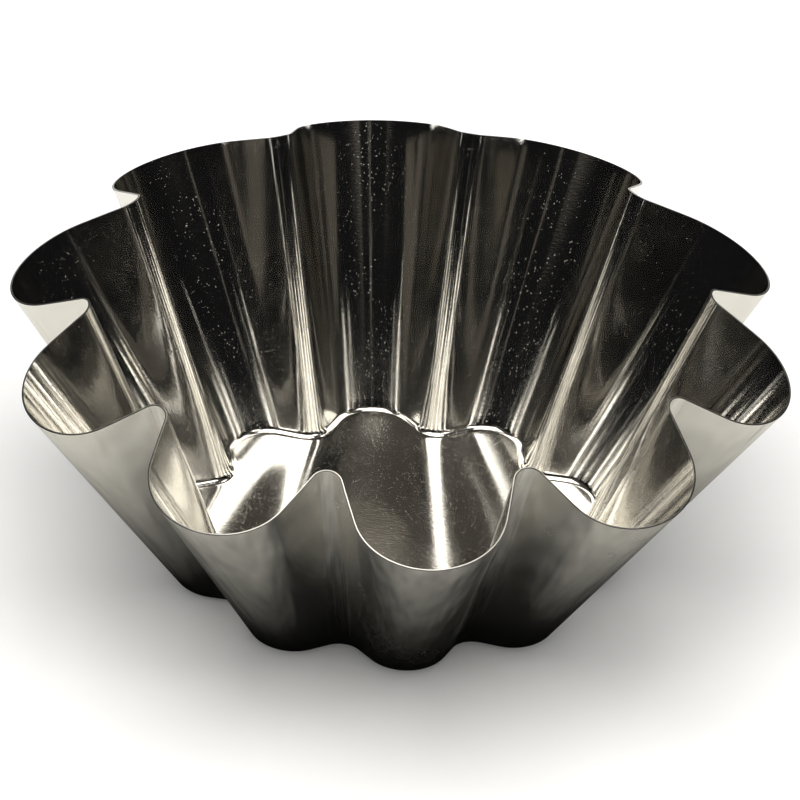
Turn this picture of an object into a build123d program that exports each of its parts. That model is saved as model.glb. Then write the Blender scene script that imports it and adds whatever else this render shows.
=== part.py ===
"""Fluted brioche mould, drawn in one piece from a disc of tinned steel sheet.

Lengths are in millimetres, on the outside of the sheet. The mould stands on the
plane Z = 0, its axis is +Z and the middle of one lobe points along +X.
"""

import os
from math import acos, atan, atan2, cos, degrees, hypot, pi, sin, sqrt, tan

from build123d import *

os.makedirs("parts", exist_ok=True)

# Sheet and height
sheet_thickness = 0.5
mould_height = 74.0  # from the resting plane to the rim over the valleys
lobe_count = 10

# Outline of the base, where the wall would meet the resting plane without its corner
base_tip_radius = 57.0
base_valley_radius = 48.2
corner_radius = 3.0
corner_levels = 3

# Outline of the rim
rim_tip_radius = 100.0
rim_valley_radius = 78.5
rim_tip_drop = 12.4  # the rim is this much lower at a lobe's tip than over a valley

# A lobe's radius is a share of the one at which it would touch the next lobe.
# A valley's radius is a share of the one that would leave no straight flank beside it.
base_lobe_share = 0.82
base_valley_share = 0.75
mouth_lobe_share = 0.785
mouth_valley_share = 0.51
rounding_share = 0.97  # the most that a valley's rounding takes, where the corner narrows its flanks

# The cup is drawn taller than the mould, and the excess is trimmed off
trim_allowance = 1.5
trim_overrun = 1.0

# Each lobe and each valley is drawn as this many short arcs, which keeps the strips of the wall narrow
arcs_per_lobe = 8
arcs_per_valley = 4

half_pitch = pi / lobe_count
tip_height = mould_height - rim_tip_drop
cup_height = mould_height + trim_allowance

# Slope of the straight wall, as the radius gained for each unit of height
tip_slope = (rim_tip_radius - base_tip_radius) / tip_height
valley_slope = (rim_valley_radius - base_valley_radius) / mould_height


def widest_valley(tip, valley, lobe_radius):
    """Radius of the valley that would touch the lobes and leave no flank."""
    middle = tip - lobe_radius
    reach = middle * cos(half_pitch)
    return (valley**2 - 2 * valley * reach + middle**2 - lobe_radius**2) / (
        2 * (lobe_radius - valley + reach)
    )


def lobe_and_valley_radius(tip, valley, lobe_share, valley_share):
    """Radii of the two arcs that an outline is made of."""
    lobe_radius = lobe_share * tip * sin(half_pitch) / (1 + sin(half_pitch))
    return lobe_radius, valley_share * widest_valley(tip, valley, lobe_radius)


def side_radius(base_radius, slope, level, skin):
    """Radius of the sheet's side at a height, round the corner and then up the straight wall."""
    turn = pi / 2 - atan(slope)
    bend = corner_radius - skin
    middle = base_radius - corner_radius * tan(turn / 2)
    if level < corner_radius - bend * cos(turn):
        return middle + sqrt(bend**2 - (corner_radius - level) ** 2)
    return base_radius + slope * level - skin * hypot(1, slope)


def short_arcs(middle, radius, start, sweep, count):
    """An arc as a row of equal shorter ones."""
    step = sweep / count
    return [
        CenterArc(middle, radius, degrees(start + step * index), degrees(step)) for index in range(count)
    ]


def outline(tip, valley, lobe_radius, valley_radius):
    """Scalloped face: a lobe, a straight flank, a valley and a flank back up, for each lobe."""
    lobe_middle = tip - lobe_radius
    valley_middle = valley + valley_radius
    across = valley_middle * cos(half_pitch) - lobe_middle
    along = valley_middle * sin(half_pitch)
    half_sweep = atan2(along, across) - acos((lobe_radius + valley_radius) / hypot(across, along))
    edges = []
    for index in range(lobe_count):
        turn = 2 * index * half_pitch
        dip_turn = turn + half_pitch
        middle = Vector(lobe_middle * cos(turn), lobe_middle * sin(turn))
        dip_middle = Vector(valley_middle * cos(dip_turn), valley_middle * sin(dip_turn))
        lobe = short_arcs(middle, lobe_radius, turn - half_sweep, 2 * half_sweep, arcs_per_lobe)
        dip_sweep = 2 * (half_pitch - half_sweep)
        dip = short_arcs(dip_middle, valley_radius, turn + half_sweep + pi, dip_sweep, arcs_per_valley)
        next_lobe_start = (lobe[0] @ 0).rotate(Axis.Z, degrees(2 * half_pitch))
        edges += [*lobe, Line(lobe[-1] @ 1, dip[0] @ 0), *dip, Line(dip[-1] @ 1, next_lobe_start)]
    return Face(Wire(edges))


base_arcs = lobe_and_valley_radius(
    base_tip_radius, base_valley_radius, base_lobe_share, base_valley_share
)
mouth_tip_radius = base_tip_radius + tip_slope * cup_height
mouth_valley_radius = base_valley_radius + valley_slope * cup_height
mouth_arcs = lobe_and_valley_radius(
    mouth_tip_radius, mouth_valley_radius, mouth_lobe_share, mouth_valley_share
)

with BuildPart() as fluted_shell:
    # The outside of the cup first, and then its inside, which is one sheet smaller and is cut out of it
    for skin, how in ((0, Mode.ADD), (sheet_thickness, Mode.SUBTRACT)):
        quarter = pi / 2 - atan(valley_slope)
        corner = [
            corner_radius - (corner_radius - skin) * cos(quarter * index / corner_levels)
            for index in range(corner_levels + 1)
        ]
        for levels, straight in ((corner, False), ([corner[-1], cup_height], True)):
            sections = []
            for level in levels:
                tip = side_radius(base_tip_radius, tip_slope, level, skin)
                valley = side_radius(base_valley_radius, valley_slope, level, skin)
                # The arcs grow or shrink with what the tip and the valley have moved
                up = level / cup_height
                lobe_radius = base_arcs[0] + (mouth_arcs[0] - base_arcs[0]) * up
                lobe_radius += tip - (base_tip_radius + tip_slope * level)
                valley_radius = base_arcs[1] + (mouth_arcs[1] - base_arcs[1]) * up
                valley_radius -= valley - (base_valley_radius + valley_slope * level)
                # and the valley's rounding leaves a little of the flank beside it
                valley_radius = min(valley_radius, rounding_share * widest_valley(tip, valley, lobe_radius))
                face = outline(tip, valley, lobe_radius, valley_radius)
                sections.append(face.moved(Location((0, 0, level))))
            loft(sections, ruled=straight, clean=False, mode=how)

    # Trim the rim along a shallow cone, high over the valleys and low at the lobes
    cone_slope = rim_tip_drop / (rim_tip_radius - rim_valley_radius)
    trim_top = cup_height + trim_overrun
    trim_inside = rim_valley_radius - (trim_top - mould_height) / cone_slope
    trim_outside = mouth_tip_radius + trim_overrun
    trim_bottom = mould_height - cone_slope * (trim_outside - rim_valley_radius)
    with BuildSketch(Plane.XZ):
        with BuildLine():
            Polyline(
                (trim_inside, trim_top),
                (trim_outside, trim_bottom),
                (trim_outside, trim_top),
                close=True,
            )
        make_face()
    revolve(axis=Axis.Z, clean=False, mode=Mode.SUBTRACT)

fluted_shell.part.label = "fluted_shell"
export_step(fluted_shell.part, "parts/fluted_shell.step")
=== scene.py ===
import math
import bpy
import numpy as np
from mathutils import Matrix, Vector


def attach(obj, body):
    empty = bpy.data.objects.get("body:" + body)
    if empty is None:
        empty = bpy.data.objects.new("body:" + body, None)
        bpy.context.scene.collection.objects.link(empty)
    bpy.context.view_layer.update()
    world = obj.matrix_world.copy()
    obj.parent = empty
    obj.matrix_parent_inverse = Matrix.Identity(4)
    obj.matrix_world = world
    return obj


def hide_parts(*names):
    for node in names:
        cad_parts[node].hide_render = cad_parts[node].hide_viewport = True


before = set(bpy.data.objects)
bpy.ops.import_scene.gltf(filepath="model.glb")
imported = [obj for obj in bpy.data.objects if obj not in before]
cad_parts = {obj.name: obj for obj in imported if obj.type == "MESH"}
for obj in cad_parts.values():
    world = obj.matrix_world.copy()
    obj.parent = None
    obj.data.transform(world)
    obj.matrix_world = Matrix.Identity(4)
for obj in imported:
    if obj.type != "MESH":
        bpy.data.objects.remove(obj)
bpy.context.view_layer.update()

mm = 0.001
print("frame loaded")

# The drawn sheet: same sizes as the CAD node
mould = {
    "sheet": 0.5 * mm,
    "height": 74.0 * mm,             # over the valleys
    "lobes": 10,
    "baseTip": 57.0 * mm,            # where the wall would meet the table
    "baseValley": 48.2 * mm,
    "baseLobeRadius": 11.03 * mm,
    "baseValleyRadius": 5.73 * mm,
    "corner": 3.0 * mm,
    "rimTip": 100.0 * mm,
    "rimValley": 78.5 * mm,
    "rimDrop": 12.4 * mm,            # how much lower the rim is at a lobe
    "cupHeight": 75.5 * mm,          # before the rim is trimmed
    "cupLobeRadius": 20.33 * mm,
    "cupValleyRadius": 3.74 * mm,
    "halfLobeColumns": 44,
    "wallRows": 36,
    "cornerRows": 8,
    "floorRings": 12,
    "ringCrowding": 1.25,            # above 1, the floor's rings lie closer near its edge
    "flatColumns": 2.0,              # share of the columns that straight stretches get
    "fineSteps": 4001,               # along half a lobe, to place the columns
    "rimSearch": 40,                 # halvings that find the rim on the wall
}
halfPitch = math.pi / mould["lobes"]


def scallopLevel(tip, valley, lobeRadius, valleyRadius):
    # a lobe's arc, a straight flank and a valley's arc, from the lobe's tip to the middle of the valley
    middle, dip = tip - lobeRadius, valley + valleyRadius
    across, aside = dip * math.cos(halfPitch) - middle, dip * math.sin(halfPitch)
    apart = math.hypot(across, aside)
    sweep = math.atan2(aside, across) - math.acos((lobeRadius + valleyRadius) / apart)
    lobe = lobeRadius * sweep
    flank = math.sqrt(apart**2 - (lobeRadius + valleyRadius) ** 2)
    total = lobe + flank + valleyRadius * (sweep - halfPitch)
    return {
        "middle": middle, "lobeRadius": lobeRadius, "dip": dip, "valleyRadius": valleyRadius,
        "sweep": sweep, "flank": flank, "lobeEnd": lobe / total, "flankEnd": (lobe + flank) / total,
    }


def scallopPoints(level, shares):
    # points and outward turns at these shares of the way round from tip to valley
    sweep, lobeEnd, flankEnd = level["sweep"], level["lobeEnd"], level["flankEnd"]
    lobeTurn = np.minimum(sweep * shares / lobeEnd, sweep)
    alongFlank = level["flank"] * np.clip((shares - lobeEnd) / (flankEnd - lobeEnd), 0, 1)
    valleyTurn = sweep + (halfPitch - sweep) * (shares - flankEnd) / (1 - flankEnd)
    inValley = shares > flankEnd
    turn = np.where(inValley, valleyTurn, lobeTurn)
    x = np.where(inValley, level["dip"] * math.cos(halfPitch) - level["valleyRadius"] * np.cos(turn),
                 level["middle"] + level["lobeRadius"] * np.cos(turn) - alongFlank * math.sin(sweep))
    y = np.where(inValley, level["dip"] * math.sin(halfPitch) - level["valleyRadius"] * np.sin(turn),
                 level["lobeRadius"] * np.sin(turn) + alongFlank * math.cos(sweep))
    return np.stack([x, y], 1), turn


def spreadShares(levels):
    # more columns where the sheet bends more
    fine = np.linspace(0, 1, mould["fineSteps"])
    effort = fine * mould["flatColumns"]
    for level in levels:
        turn = scallopPoints(level, fine)[1]
        effort = effort + np.concatenate([[0], np.cumsum(np.abs(np.diff(turn)))])
    return np.interp(np.linspace(0, effort[-1], mould["halfLobeColumns"] + 1), effort, fine)


def allRound(points):
    # one half pitch, mirrored at the valley and repeated for every lobe
    mirrored = (points * [1, -1])[1:-1][::-1]
    rounds = []
    for index in range(mould["lobes"]):
        for half, turn in ((points, index * 2 * halfPitch), (mirrored, (index + 1) * 2 * halfPitch)):
            c, s = math.cos(turn), math.sin(turn)
            rounds.append(half @ np.array([[c, s], [-s, c]]))
    return np.concatenate(rounds)


def sheetSide():
    # the outside of the sheet as rows of points, from the middle of the floor up to the rim
    m = mould
    tipSlope = (m["rimTip"] - m["baseTip"]) / (m["height"] - m["rimDrop"])
    valleySlope = (m["rimValley"] - m["baseValley"]) / m["height"]
    cup = m["cupHeight"]
    levels = (scallopLevel(m["baseTip"], m["baseValley"], m["baseLobeRadius"], m["baseValleyRadius"]),
              scallopLevel(m["baseTip"] + tipSlope * cup, m["baseValley"] + valleySlope * cup,
                           m["cupLobeRadius"], m["cupValleyRadius"]))
    shares = spreadShares(levels)
    base, turn = scallopPoints(levels[0], shares)
    top = scallopPoints(levels[1], shares)[0]
    outward = allRound(np.stack([np.cos(turn), np.sin(turn)], 1))
    base, top = allRound(base), allRound(top)
    along = np.stack([-outward[:, 1], outward[:, 0]], 1)
    rise = top - base
    lean = np.arctan((rise * outward).sum(1) / cup)
    drift = (rise * along).sum(1) / cup
    footInset = m["corner"] * np.tan((math.pi / 2 - lean) / 2)
    foot = base - outward * footInset[:, None]
    rows = []
    for ring in range(1, m["floorRings"] + 1):
        share = 1 - (1 - ring / m["floorRings"]) ** m["ringCrowding"]
        rows.append(np.column_stack([foot * share, np.zeros(len(foot))]))
    for row in range(1, m["cornerRows"] + 1):
        angle = (math.pi / 2 - lean) * row / m["cornerRows"]
        z = m["corner"] * (1 - np.cos(angle))
        out = m["corner"] * np.sin(angle) - footInset
        rows.append(np.column_stack([base + outward * out[:, None] + along * (drift * z)[:, None], z]))
    # the rim lies on a shallow cone through the tops of the valleys
    low, high = np.full(len(base), 0.5), np.full(len(base), 1.0)
    coneSlope = m["rimDrop"] / (m["rimTip"] - m["rimValley"])
    for _ in range(m["rimSearch"]):
        share = (low + high) / 2
        radius = np.linalg.norm(base + rise * share[:, None], axis=1)
        above = cup * share > m["height"] - coneSlope * (radius - m["rimValley"])
        high, low = np.where(above, share, high), np.where(above, low, share)
    start = rows[-1][:, 2] / cup
    for row in range(1, m["wallRows"] + 1):
        share = start + (low - start) * row / m["wallRows"]
        rows.append(np.column_stack([base + rise * share[:, None], cup * share]))
    return np.stack(rows)


def sheetNormals(grid):
    # outward directions of a grid of rows that close on themselves
    around = np.roll(grid, -1, 1) - np.roll(grid, 1, 1)
    up = np.gradient(grid, axis=0)
    normals = np.cross(around, up)
    return normals / np.linalg.norm(normals, axis=2, keepdims=True)


def buildMould():
    outside = sheetSide()
    inside = outside - sheetNormals(outside) * mould["sheet"]
    rows, columns, _ = outside.shape
    count = rows * columns
    floorMiddles = [[0, 0, 0], [0, 0, mould["sheet"]]]
    points = np.concatenate([outside.reshape(-1, 3), inside.reshape(-1, 3), floorMiddles])
    # u runs once round the mould and v is the way up the sheet, from the middle of the floor
    firstRing = np.linalg.norm(outside[0, :, :2], axis=1).mean()
    rowSteps = np.linalg.norm(np.diff(outside, axis=0), axis=2).mean(1)
    way = firstRing + np.concatenate([[0], np.cumsum(rowSteps)])
    outsideSlot, insideSlot, edgeSlot = range(3)
    faces, slots, uvs = [], [], []

    def addFace(slot, corners, spots):
        # the inside faces the other way
        step = -1 if slot == insideSlot else 1
        faces.append(corners[::step])
        uvs.extend(spots[::step])
        slots.append(slot)

    for slot in (outsideSlot, insideSlot):
        first = slot * count
        for row in range(rows - 1):
            low, high = first + row * columns, first + (row + 1) * columns
            for column in range(columns):
                after = (column + 1) % columns
                u, nextU = column / columns, (column + 1) / columns
                addFace(slot, [low + column, low + after, high + after, high + column],
                        [(u, way[row]), (nextU, way[row]), (nextU, way[row + 1]), (u, way[row + 1])])
        for column in range(columns):
            after = (column + 1) % columns
            u, nextU = column / columns, (column + 1) / columns
            addFace(slot, [2 * count + slot, first + after, first + column],
                    [(u, 0), (nextU, way[0]), (u, way[0])])
    # on the cut edge v runs across the sheet instead, from the outside in
    outerRim, innerRim = count - columns, 2 * count - columns
    for column in range(columns):
        after = (column + 1) % columns
        u, nextU = column / columns, (column + 1) / columns
        addFace(edgeSlot, [outerRim + column, outerRim + after, innerRim + after, innerRim + column],
                [(u, 0), (nextU, 0), (nextU, 1), (u, 1)])

    mesh = bpy.data.meshes.new("flutedMould")
    mesh.from_pydata(points.tolist(), [], faces)
    mesh.polygons.foreach_set("material_index", slots)
    mesh.polygons.foreach_set("use_smooth", [True] * len(faces))
    layer = mesh.uv_layers.new(name="sheet")
    layer.data.foreach_set("uv", [value for spot in uvs for value in spot])
    rimEdges = {tuple(sorted((rim + column, rim + (column + 1) % columns)))
                for rim in (outerRim, innerRim) for column in range(columns)}
    sharp = mesh.attributes.new("sharp_edge", "BOOLEAN", "EDGE")
    sharp.data.foreach_set("value", [tuple(sorted(edge.vertices)) in rimEdges for edge in mesh.edges])
    mesh.update()
    piece = bpy.data.objects.new("flutedMould", mesh)
    bpy.context.scene.collection.objects.link(piece)
    return piece


piece = buildMould()
print("mould built:", len(piece.data.vertices), "points")


def newNode(tree, kind, **settings):
    node = tree.nodes.new(kind)
    for key, value in settings.items():
        setattr(node, key, value)
    return node


def link(tree, start, end):
    tree.links.new(start, end)


def mathNode(tree, operation, *values, clamp=False):
    # each value is a number or another node's output
    node = newNode(tree, "ShaderNodeMath", operation=operation, use_clamp=clamp)
    for socket, value in zip(node.inputs, values):
        if hasattr(value, "links"):
            link(tree, value, socket)
        else:
            socket.default_value = value
    return node.outputs[0]


def add(tree, a, b, clamp=False):
    return mathNode(tree, "ADD", a, b, clamp=clamp)


def times(tree, a, b):
    return mathNode(tree, "MULTIPLY", a, b)


def noise(tree, vector, scale, detail=2.0, roughness=0.5):
    node = newNode(tree, "ShaderNodeTexNoise")
    node.inputs["Scale"].default_value = scale
    node.inputs["Detail"].default_value = detail
    node.inputs["Roughness"].default_value = roughness
    link(tree, vector, node.inputs["Vector"])
    return node.outputs[0]


def ramp(tree, value, ends, kind="LINEAR"):
    # 0 at the first end and 1 at the second
    node = newNode(tree, "ShaderNodeMapRange", interpolation_type=kind)
    node.inputs["From Min"].default_value, node.inputs["From Max"].default_value = ends
    link(tree, value, node.inputs["Value"])
    return node.outputs[0]


def mixColours(tree, share, first, second):
    node = newNode(tree, "ShaderNodeMix", data_type="RGBA")
    node.inputs[6].default_value = (*first, 1)
    node.inputs[7].default_value = (*second, 1)
    link(tree, share, node.inputs[0])
    return node.outputs[2]


def bump(tree, height, distance, under=None):
    node = newNode(tree, "ShaderNodeBump")
    node.inputs["Strength"].default_value = 1.0
    node.inputs["Distance"].default_value = distance
    link(tree, height, node.inputs["Height"])
    if under is not None:
        link(tree, under, node.inputs["Normal"])
    return node.outputs[0]


def objectPlace(tree):
    return newNode(tree, "ShaderNodeTexCoord").outputs["Object"]


def splitPlace(tree, vector):
    node = newNode(tree, "ShaderNodeSeparateXYZ")
    link(tree, vector, node.inputs[0])
    return node.outputs


def newMaterial(name):
    material = bpy.data.materials.new(name)
    material.use_nodes = True
    return material, material.node_tree, material.node_tree.nodes["Principled BSDF"]


def newGroup(name, inputs, outputs):
    group = bpy.data.node_groups.new(name, "ShaderNodeTree")
    for socket, value in inputs.items():
        made = group.interface.new_socket(socket, in_out="INPUT", socket_type="NodeSocketFloat")
        made.default_value = value
    for socket in outputs:
        group.interface.new_socket(socket, in_out="OUTPUT", socket_type="NodeSocketFloat")
    return group, newNode(group, "NodeGroupInput").outputs, newNode(group, "NodeGroupOutput").inputs


def useGroup(tree, group, **values):
    node = newNode(tree, "ShaderNodeGroup", node_tree=group)
    for key, value in values.items():
        node.inputs[key].default_value = value
    return node.outputs


# Lines and waves that the drawing leaves up the wall, and the rolled grain of the sheet
grain = {
    "wrapRadius": 0.09,              # the way round is wrapped on this radius, so it closes on itself
    "lines": {"scale": 900.0, "detail": 3.0, "stretch": 0.03, "share": 0.30},
    "streaks": {"scale": 260.0, "stretch": 0.06, "share": 0.40},
    "waves": {"scale": 150.0, "stretch": 0.2},
    "rolled": {"scale": 2600.0, "stretch": (0.2, 1.0, 1.0), "turn": math.radians(-11)},
    "rolledOnFloor": 0.16,
    "rolledOnWall": 0.2,
    "wallStart": (1 * mm, 4 * mm),   # the wall's lines begin in the corner, between these heights
    "footWear": (30 * mm, 6 * mm),   # from none to full
}


def sheetPlace(tree, stretch):
    # a place on the sheet that runs round the wall and up it
    uv = newNode(tree, "ShaderNodeUVMap", uv_map="sheet")
    across = splitPlace(tree, uv.outputs[0])
    turn = times(tree, across[0], 2 * math.pi)
    together = newNode(tree, "ShaderNodeCombineXYZ")
    link(tree, times(tree, mathNode(tree, "COSINE", turn), grain["wrapRadius"]), together.inputs[0])
    link(tree, times(tree, mathNode(tree, "SINE", turn), grain["wrapRadius"]), together.inputs[1])
    link(tree, times(tree, across[1], stretch), together.inputs[2])
    return together.outputs[0]


def makeDrawnGrain():
    lines, streaks, waves, rolled = (grain[key] for key in ("lines", "streaks", "waves", "rolled"))
    group, entry, leave = newGroup("drawnGrain", {"Line Scale": lines["scale"]}, ("Height", "Sway", "Foot"))
    fine = newNode(group, "ShaderNodeTexNoise")
    link(group, sheetPlace(group, lines["stretch"]), fine.inputs["Vector"])
    link(group, entry["Line Scale"], fine.inputs["Scale"])
    fine.inputs["Detail"].default_value = lines["detail"]
    broad = noise(group, sheetPlace(group, streaks["stretch"]), streaks["scale"])
    sway = noise(group, sheetPlace(group, waves["stretch"]), waves["scale"])
    turned = newNode(group, "ShaderNodeMapping")
    turned.inputs["Rotation"].default_value = (0, 0, rolled["turn"])
    turned.inputs["Scale"].default_value = rolled["stretch"]
    link(group, objectPlace(group), turned.inputs["Vector"])
    flat = noise(group, turned.outputs[0], rolled["scale"])
    height = splitPlace(group, objectPlace(group))[2]
    onWall = ramp(group, height, grain["wallStart"])
    drawn = add(group, times(group, fine.outputs[0], lines["share"]), times(group, broad, streaks["share"]))
    mix = newNode(group, "ShaderNodeMix")
    link(group, onWall, mix.inputs[0])
    link(group, times(group, flat, grain["rolledOnFloor"]), mix.inputs[2])
    link(group, add(group, drawn, times(group, flat, grain["rolledOnWall"])), mix.inputs[3])
    link(group, mix.outputs[0], leave["Height"])
    link(group, sway, leave["Sway"])
    link(group, times(group, ramp(group, height, grain["footWear"]), onWall), leave["Foot"])
    return group


# Scattered pin-sized pits in the tin, in patches
pits = {
    "scale": 1800.0,
    "share": 0.45,                   # of the cells that hold a pit
    "size": 0.24,                    # of a cell
    "depth": 4.2,                    # of the deepest
    "patchScale": 60.0,
    "patch": (0.25, 0.65),
}


def makeTinPits():
    group, entry, leave = newGroup("tinPits", {"Scale": pits["scale"], "Share": pits["share"]}, ("Mask",))
    cells = newNode(group, "ShaderNodeTexVoronoi", feature="F1")
    link(group, objectPlace(group), cells.inputs["Vector"])
    link(group, entry["Scale"], cells.inputs["Scale"])
    dot = mathNode(group, "SUBTRACT", pits["size"], cells.outputs["Distance"], clamp=True)
    pick = newNode(group, "ShaderNodeSeparateColor")
    link(group, cells.outputs["Color"], pick.inputs[0])
    chosen = mathNode(group, "LESS_THAN", pick.outputs[0], entry["Share"])
    patch = ramp(group, noise(group, objectPlace(group), pits["patchScale"]), pits["patch"])
    deep = times(group, times(group, dot, pits["depth"]), pick.outputs[1])
    link(group, times(group, deep, times(group, chosen, patch)), leave["Mask"])
    return group


drawnGrain = makeDrawnGrain()
tinPits = makeTinPits()

# Finish of the tinned sheet: satin outside, bright inside
tin = {
    "colour": (0.85, 0.83, 0.78),
    "shade": (0.70, 0.68, 0.63),
    "shadeShare": 0.5,
    "cloudScale": 45.0,
    "cloudDetail": 4.0,
    "cloudRoughness": 0.6,
    "colourCloud": (0.35, 0.75),
    "dullCloud": (0.3, 0.7),
    "specks": {"Scale": 2800.0, "Share": 0.8},
    "speckDepth": 0.16,              # against the pits
    "outside": {
        "roughness": 0.22,
        "dullness": 0.06,            # added where the tin is cloudy
        "footWear": 0.0,             # added at the foot of the wall
        "waves": 1.4 * mm,
        "grain": 0.03 * mm,
        "pits": 0.004 * mm,
    },
    "inside": {
        "roughness": 0.05,
        "dullness": 0.07,
        "footWear": 0.06,
        "waves": 0.0,
        "grain": 0.06 * mm,
        "pits": 0.09 * mm,
    },
}


def makeTin(name, side):
    material, tree, shader = newMaterial(name)
    shader.inputs["Metallic"].default_value = 1.0
    drawn = useGroup(tree, drawnGrain)
    pitMask = useGroup(tree, tinPits)["Mask"]
    speckMask = useGroup(tree, tinPits, **tin["specks"])["Mask"]
    cloud = noise(tree, objectPlace(tree), tin["cloudScale"], tin["cloudDetail"], tin["cloudRoughness"])
    shade = times(tree, ramp(tree, cloud, tin["colourCloud"]), tin["shadeShare"])
    link(tree, mixColours(tree, shade, tin["colour"], tin["shade"]), shader.inputs["Base Color"])
    dull = times(tree, ramp(tree, cloud, tin["dullCloud"]), side["dullness"])
    rough = add(tree, add(tree, dull, side["roughness"]), times(tree, drawn["Foot"], side["footWear"]))
    link(tree, rough, shader.inputs["Roughness"])
    waved = bump(tree, drawn["Sway"], side["waves"])
    lined = bump(tree, drawn["Height"], side["grain"], waved)
    speckled = add(tree, pitMask, times(tree, speckMask, tin["speckDepth"]))
    link(tree, bump(tree, speckled, side["pits"], lined), shader.inputs["Normal"])
    return material


# Sheared edge: a dark burr on the outer side, partly the rough shear and partly painted shade for the dark
# line along the rim, and a bright land on the inner side
cut = {
    "land": (0.74, 0.71, 0.65),
    # near-black colour of the outer half of the edge: burr and painted shade
    "burrAndShade": (0.06, 0.055, 0.05),
    "burrAndShadeRange": (0.85, 0.65),       # across the sheet, from none to full
    "wearScale": 700.0,
    "wearDetail": 3.0,
    "wearReach": 0.5,
    "roughness": 0.25,
    "wearRoughness": 0.3,
}


def makeCutEdge():
    material, tree, shader = newMaterial("cutEdge")
    shader.inputs["Metallic"].default_value = 1.0
    wear = noise(tree, objectPlace(tree), cut["wearScale"], cut["wearDetail"])
    uv = newNode(tree, "ShaderNodeUVMap", uv_map="sheet")
    across = add(tree, splitPlace(tree, uv.outputs[0])[1], times(tree, wear, cut["wearReach"]))
    # the outer half of the cut edge takes the near-black colour, burr and painted shade together
    burrAndShade = ramp(tree, across, cut["burrAndShadeRange"])
    link(tree, mixColours(tree, burrAndShade, cut["land"], cut["burrAndShade"]), shader.inputs["Base Color"])
    rough = add(tree, times(tree, wear, cut["wearRoughness"]), cut["roughness"])
    link(tree, rough, shader.inputs["Roughness"])
    return material


for material in (makeTin("outsideTin", tin["outside"]), makeTin("insideTin", tin["inside"]), makeCutEdge()):
    piece.data.materials.append(material)

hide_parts("fluted_shell")
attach(piece, "root")
print("finish done")

# Studio: pale table and backdrop, soft boxes overhead, dark cards for the tin to mirror, and the mould's
# shadow on the table painted into a disc that only the tin sees
studio = {
    "yaw": math.radians(11.35),      # the photograph's view, round the mould
    "white": (1, 1, 1, 1),
    "floorRadius": 5.0,
    "floorColour": (0.90, 0.90, 0.895),
    "floorRoughness": 0.9,
    "floorShine": 0.1,
    "floorLift": 0.42,               # only for what the camera and the tin see
    "liftRange": (0.05, 0.26),       # metres from the mould's axis, which leaves its shadow
    "worldLight": 0.72,
    "boxHeight": 1.35,
    "boxEnergy": 9.6,                # for each square metre of box
    "boxColour": (1.0, 0.985, 0.955),
    "boxes": (
        # middle to the right and to the back of the mould, width and depth in metres
        (-0.15, -0.265, 0.94, 0.97),
        (0.66, -0.50, 0.50, 0.40),
        (0.62, 0.56, 0.28, 0.28),
    ),
    "cardColour": (0.006, 0.006, 0.0065),
    "greyColour": (0.31, 0.285, 0.245),
    # painted shadow under the mould: a disc only the tin sees, near black at the foot, paling to the shaded
    # table colour under the rim
    "paintedShadowColour": (0.01, 0.01, 0.01),
    "paintedShadowPale": (0.80, 0.79, 0.74),
    "matPlace": (0.004, 0.0, 0.0003),
    "matRadius": 0.2,
    "paintedShadowRange": (0.062, 0.120),       # metres from the middle, from the dark of the painted shadow to pale
    "matFade": (0.2, 0.12),          # and from gone to solid
    "ceilingHeight": 1.37,
    "ceilingRadius": 3.2,
    "ceilingGrey": 0.22,
    "cards": (
        # radius in metres, start and end in degrees round from the back,
        # lowest and highest in metres, grey share
        (1.2, 14, 27, 0.0, 0.76, 0.0),
        (1.2, 27, 348, 0.0, 1.24, 0.0),
        (1.18, 118, 156, 0.9, 1.24, 0.22),
        (1.18, 204, 242, 0.9, 1.24, 0.22),
        (1.18, 186.8, 187.9, 0.0, 1.2, 0.7),
        (0.34, -0.6, 4.6, 0.12, 0.238, 0.0),
        (0.34, -0.6, 4.6, 0.238, 0.6, 1.0),
        (0.34, -3.4, -1.9, 0.12, 0.6, 0.0),
        (0.34, -24, -6.5, 0.12, 0.6, 0.0),
    ),
    "cardStep": 5,                   # degrees
    "discSides": 64,
}


def addStage(name, mesh, material, seenByTinOnly=True):
    thing = bpy.data.objects.new(name, mesh)
    mesh.materials.append(material)
    bpy.context.scene.collection.objects.link(thing)
    if seenByTinOnly:
        thing.visible_camera = False
        thing.visible_diffuse = False
        thing.visible_shadow = False
    return thing


def newMatt(name, roughness=1.0, shine=0.0):
    material, tree, shader = newMaterial(name)
    shader.inputs["Roughness"].default_value = roughness
    shader.inputs["Specular IOR Level"].default_value = shine
    return material, tree, shader


def fromMiddle(tree):
    away = newNode(tree, "ShaderNodeVectorMath", operation="LENGTH")
    link(tree, objectPlace(tree), away.inputs[0])
    return away.outputs["Value"]


def seenInPicture(tree):
    # 1 for what the camera sees, also in a mirror or through glass
    path = newNode(tree, "ShaderNodeLightPath")
    seen = add(tree, path.outputs["Is Camera Ray"], path.outputs["Is Glossy Ray"])
    return add(tree, seen, path.outputs["Is Transmission Ray"], clamp=True)


def makeFloorPaint():
    material, tree, shader = newMatt("studioFloor", studio["floorRoughness"], studio["floorShine"])
    shader.inputs["Base Color"].default_value = (*studio["floorColour"], 1)
    lift = times(tree, ramp(tree, fromMiddle(tree), studio["liftRange"], "SMOOTHSTEP"), studio["floorLift"])
    glow = newNode(tree, "ShaderNodeEmission")
    glow.inputs["Color"].default_value = studio["white"]
    link(tree, times(tree, seenInPicture(tree), lift), glow.inputs["Strength"])
    total = newNode(tree, "ShaderNodeAddShader")
    link(tree, shader.outputs[0], total.inputs[0])
    link(tree, glow.outputs[0], total.inputs[1])
    link(tree, total.outputs[0], tree.nodes["Material Output"].inputs["Surface"])
    return material


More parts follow.
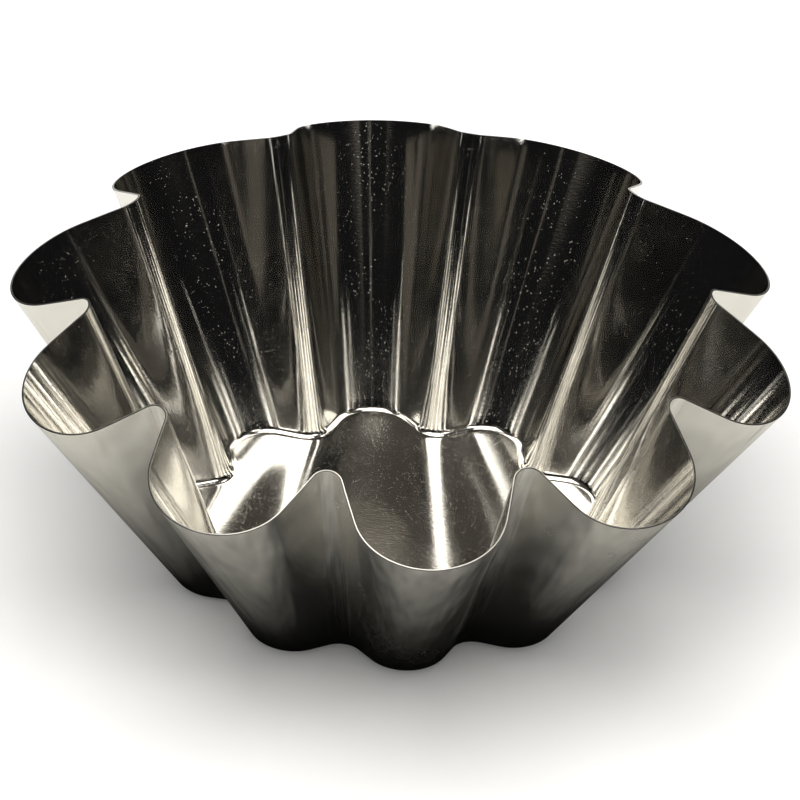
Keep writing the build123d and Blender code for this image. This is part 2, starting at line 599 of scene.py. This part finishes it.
def makeCardPaint(name, grey):
    # matt card, dark or part grey
    material, _, shader = newMatt(name)
    mixed = [dark + (pale - dark) * grey for dark, pale in zip(studio["cardColour"], studio["greyColour"])]
    shader.inputs["Base Color"].default_value = (*mixed, 1)
    return material


def makePaintedShadowMat():
    # painted shadow of the mould on the table, seen only by the tin: dark at the mould's foot, as pale as
    # the shaded table under the rim, and gone beyond it
    material, tree, shader = newMatt("paintedShadowMat")
    away = fromMiddle(tree)
    shade = mixColours(tree, ramp(tree, away, studio["paintedShadowRange"]), studio["paintedShadowColour"], studio["paintedShadowPale"])
    link(tree, shade, shader.inputs["Base Color"])
    link(tree, ramp(tree, away, studio["matFade"]), shader.inputs["Alpha"])
    return material


def ringMesh(name, radius, start, end, low, high):
    steps = max(2, int(abs(end - start) / studio["cardStep"]))
    points, faces = [], []
    for step in range(steps + 1):
        turn = math.radians(90 + start + (end - start) * step / steps) + studio["yaw"]
        x, y = radius * math.cos(turn), radius * math.sin(turn)
        points += [(x, y, low), (x, y, high)]
    for step in range(steps):
        faces.append((2 * step, 2 * step + 2, 2 * step + 3, 2 * step + 1))
    mesh = bpy.data.meshes.new(name)
    mesh.from_pydata(points, [], faces)
    return mesh


def discMesh(name, radius):
    sides = studio["discSides"]
    turns = [2 * math.pi * side / sides for side in range(sides)]
    points = [(radius * math.cos(turn), radius * math.sin(turn), 0) for turn in turns]
    mesh = bpy.data.meshes.new(name)
    mesh.from_pydata(points, [], [tuple(range(sides))])
    return mesh


floorMesh = discMesh("studioFloor", studio["floorRadius"])
addStage("studioFloor", floorMesh, makeFloorPaint(), seenByTinOnly=False)
# disc with the mould's shadow on the table painted into it, seen only in the tin's reflections
paintedShadowDisc = addStage("paintedShadowMat", discMesh("paintedShadowMat", studio["matRadius"]), makePaintedShadowMat())
paintedShadowDisc.location = studio["matPlace"]
greyPaint = makeCardPaint("greyCeiling", studio["ceilingGrey"])
ceiling = addStage("greyCeiling", discMesh("greyCeiling", studio["ceilingRadius"]), greyPaint)
ceiling.location = (0, 0, studio["ceilingHeight"])
for index, (*ring, grey) in enumerate(studio["cards"]):
    name = "card" + str(index)
    addStage(name, ringMesh(name, *ring), makeCardPaint(name, grey))

world = bpy.data.worlds.new("studioWorld")
bpy.context.scene.world = world
world.use_nodes = True
sky = world.node_tree.nodes["Background"]
sky.inputs["Color"].default_value = studio["white"]
whiter = times(world.node_tree, seenInPicture(world.node_tree), 1.0 - studio["worldLight"])
link(world.node_tree, add(world.node_tree, whiter, studio["worldLight"]), sky.inputs["Strength"])

for index, (x, y, width, depth) in enumerate(studio["boxes"]):
    lamp = bpy.data.lights.new("softBox" + str(index), "AREA")
    lamp.shape = "RECTANGLE"
    lamp.size, lamp.size_y = width, depth
    lamp.energy = studio["boxEnergy"] * width * depth
    lamp.color = studio["boxColour"]
    softBox = bpy.data.objects.new("softBox" + str(index), lamp)
    boxPlace = Matrix.Translation((x, y, studio["boxHeight"]))
    softBox.matrix_world = Matrix.Rotation(studio["yaw"], 4, "Z") @ boxPlace
    bpy.context.scene.collection.objects.link(softBox)
print("studio done")

# Camera at the photograph's angle
shot = {
    "elevation": 0.6044,             # radians, like the roll
    "roll": 0.05179,
    "distance": 3141.4 * mm,         # from the level of the rim
    "right": -0.278 * mm,
    "up": -25.269 * mm,
    "focalPixels": 12546.9,
    "pictureWidth": 800,             # pixels
    "sensorWidth": 36,
    "farthest": 20,
}
back = Vector((0, -math.cos(shot["elevation"]), math.sin(shot["elevation"])))
right = Vector((1, 0, 0))
up = back.cross(right)
rolledRight = math.cos(shot["roll"]) * right + math.sin(shot["roll"]) * up
rolledUp = -math.sin(shot["roll"]) * right + math.cos(shot["roll"]) * up
eye = back * shot["distance"] + rolledRight * shot["right"] + rolledUp * shot["up"]
eye += Vector((0, 0, mould["height"]))
turned = Matrix.Rotation(studio["yaw"], 4, "Z")
basis = Matrix((rolledRight, rolledUp, back)).transposed().to_4x4()
lens = bpy.data.cameras.new("shot")
lens.sensor_width = shot["sensorWidth"]
lens.lens = shot["focalPixels"] / shot["pictureWidth"] * shot["sensorWidth"]
lens.clip_end = shot["farthest"]
camera = bpy.data.objects.new("shot", lens)
camera.matrix_world = turned @ Matrix.Translation(eye) @ basis
bpy.context.scene.collection.objects.link(camera)
bpy.context.scene.camera = camera
bpy.context.scene.view_settings.view_transform = "Standard"

print("scene ready")
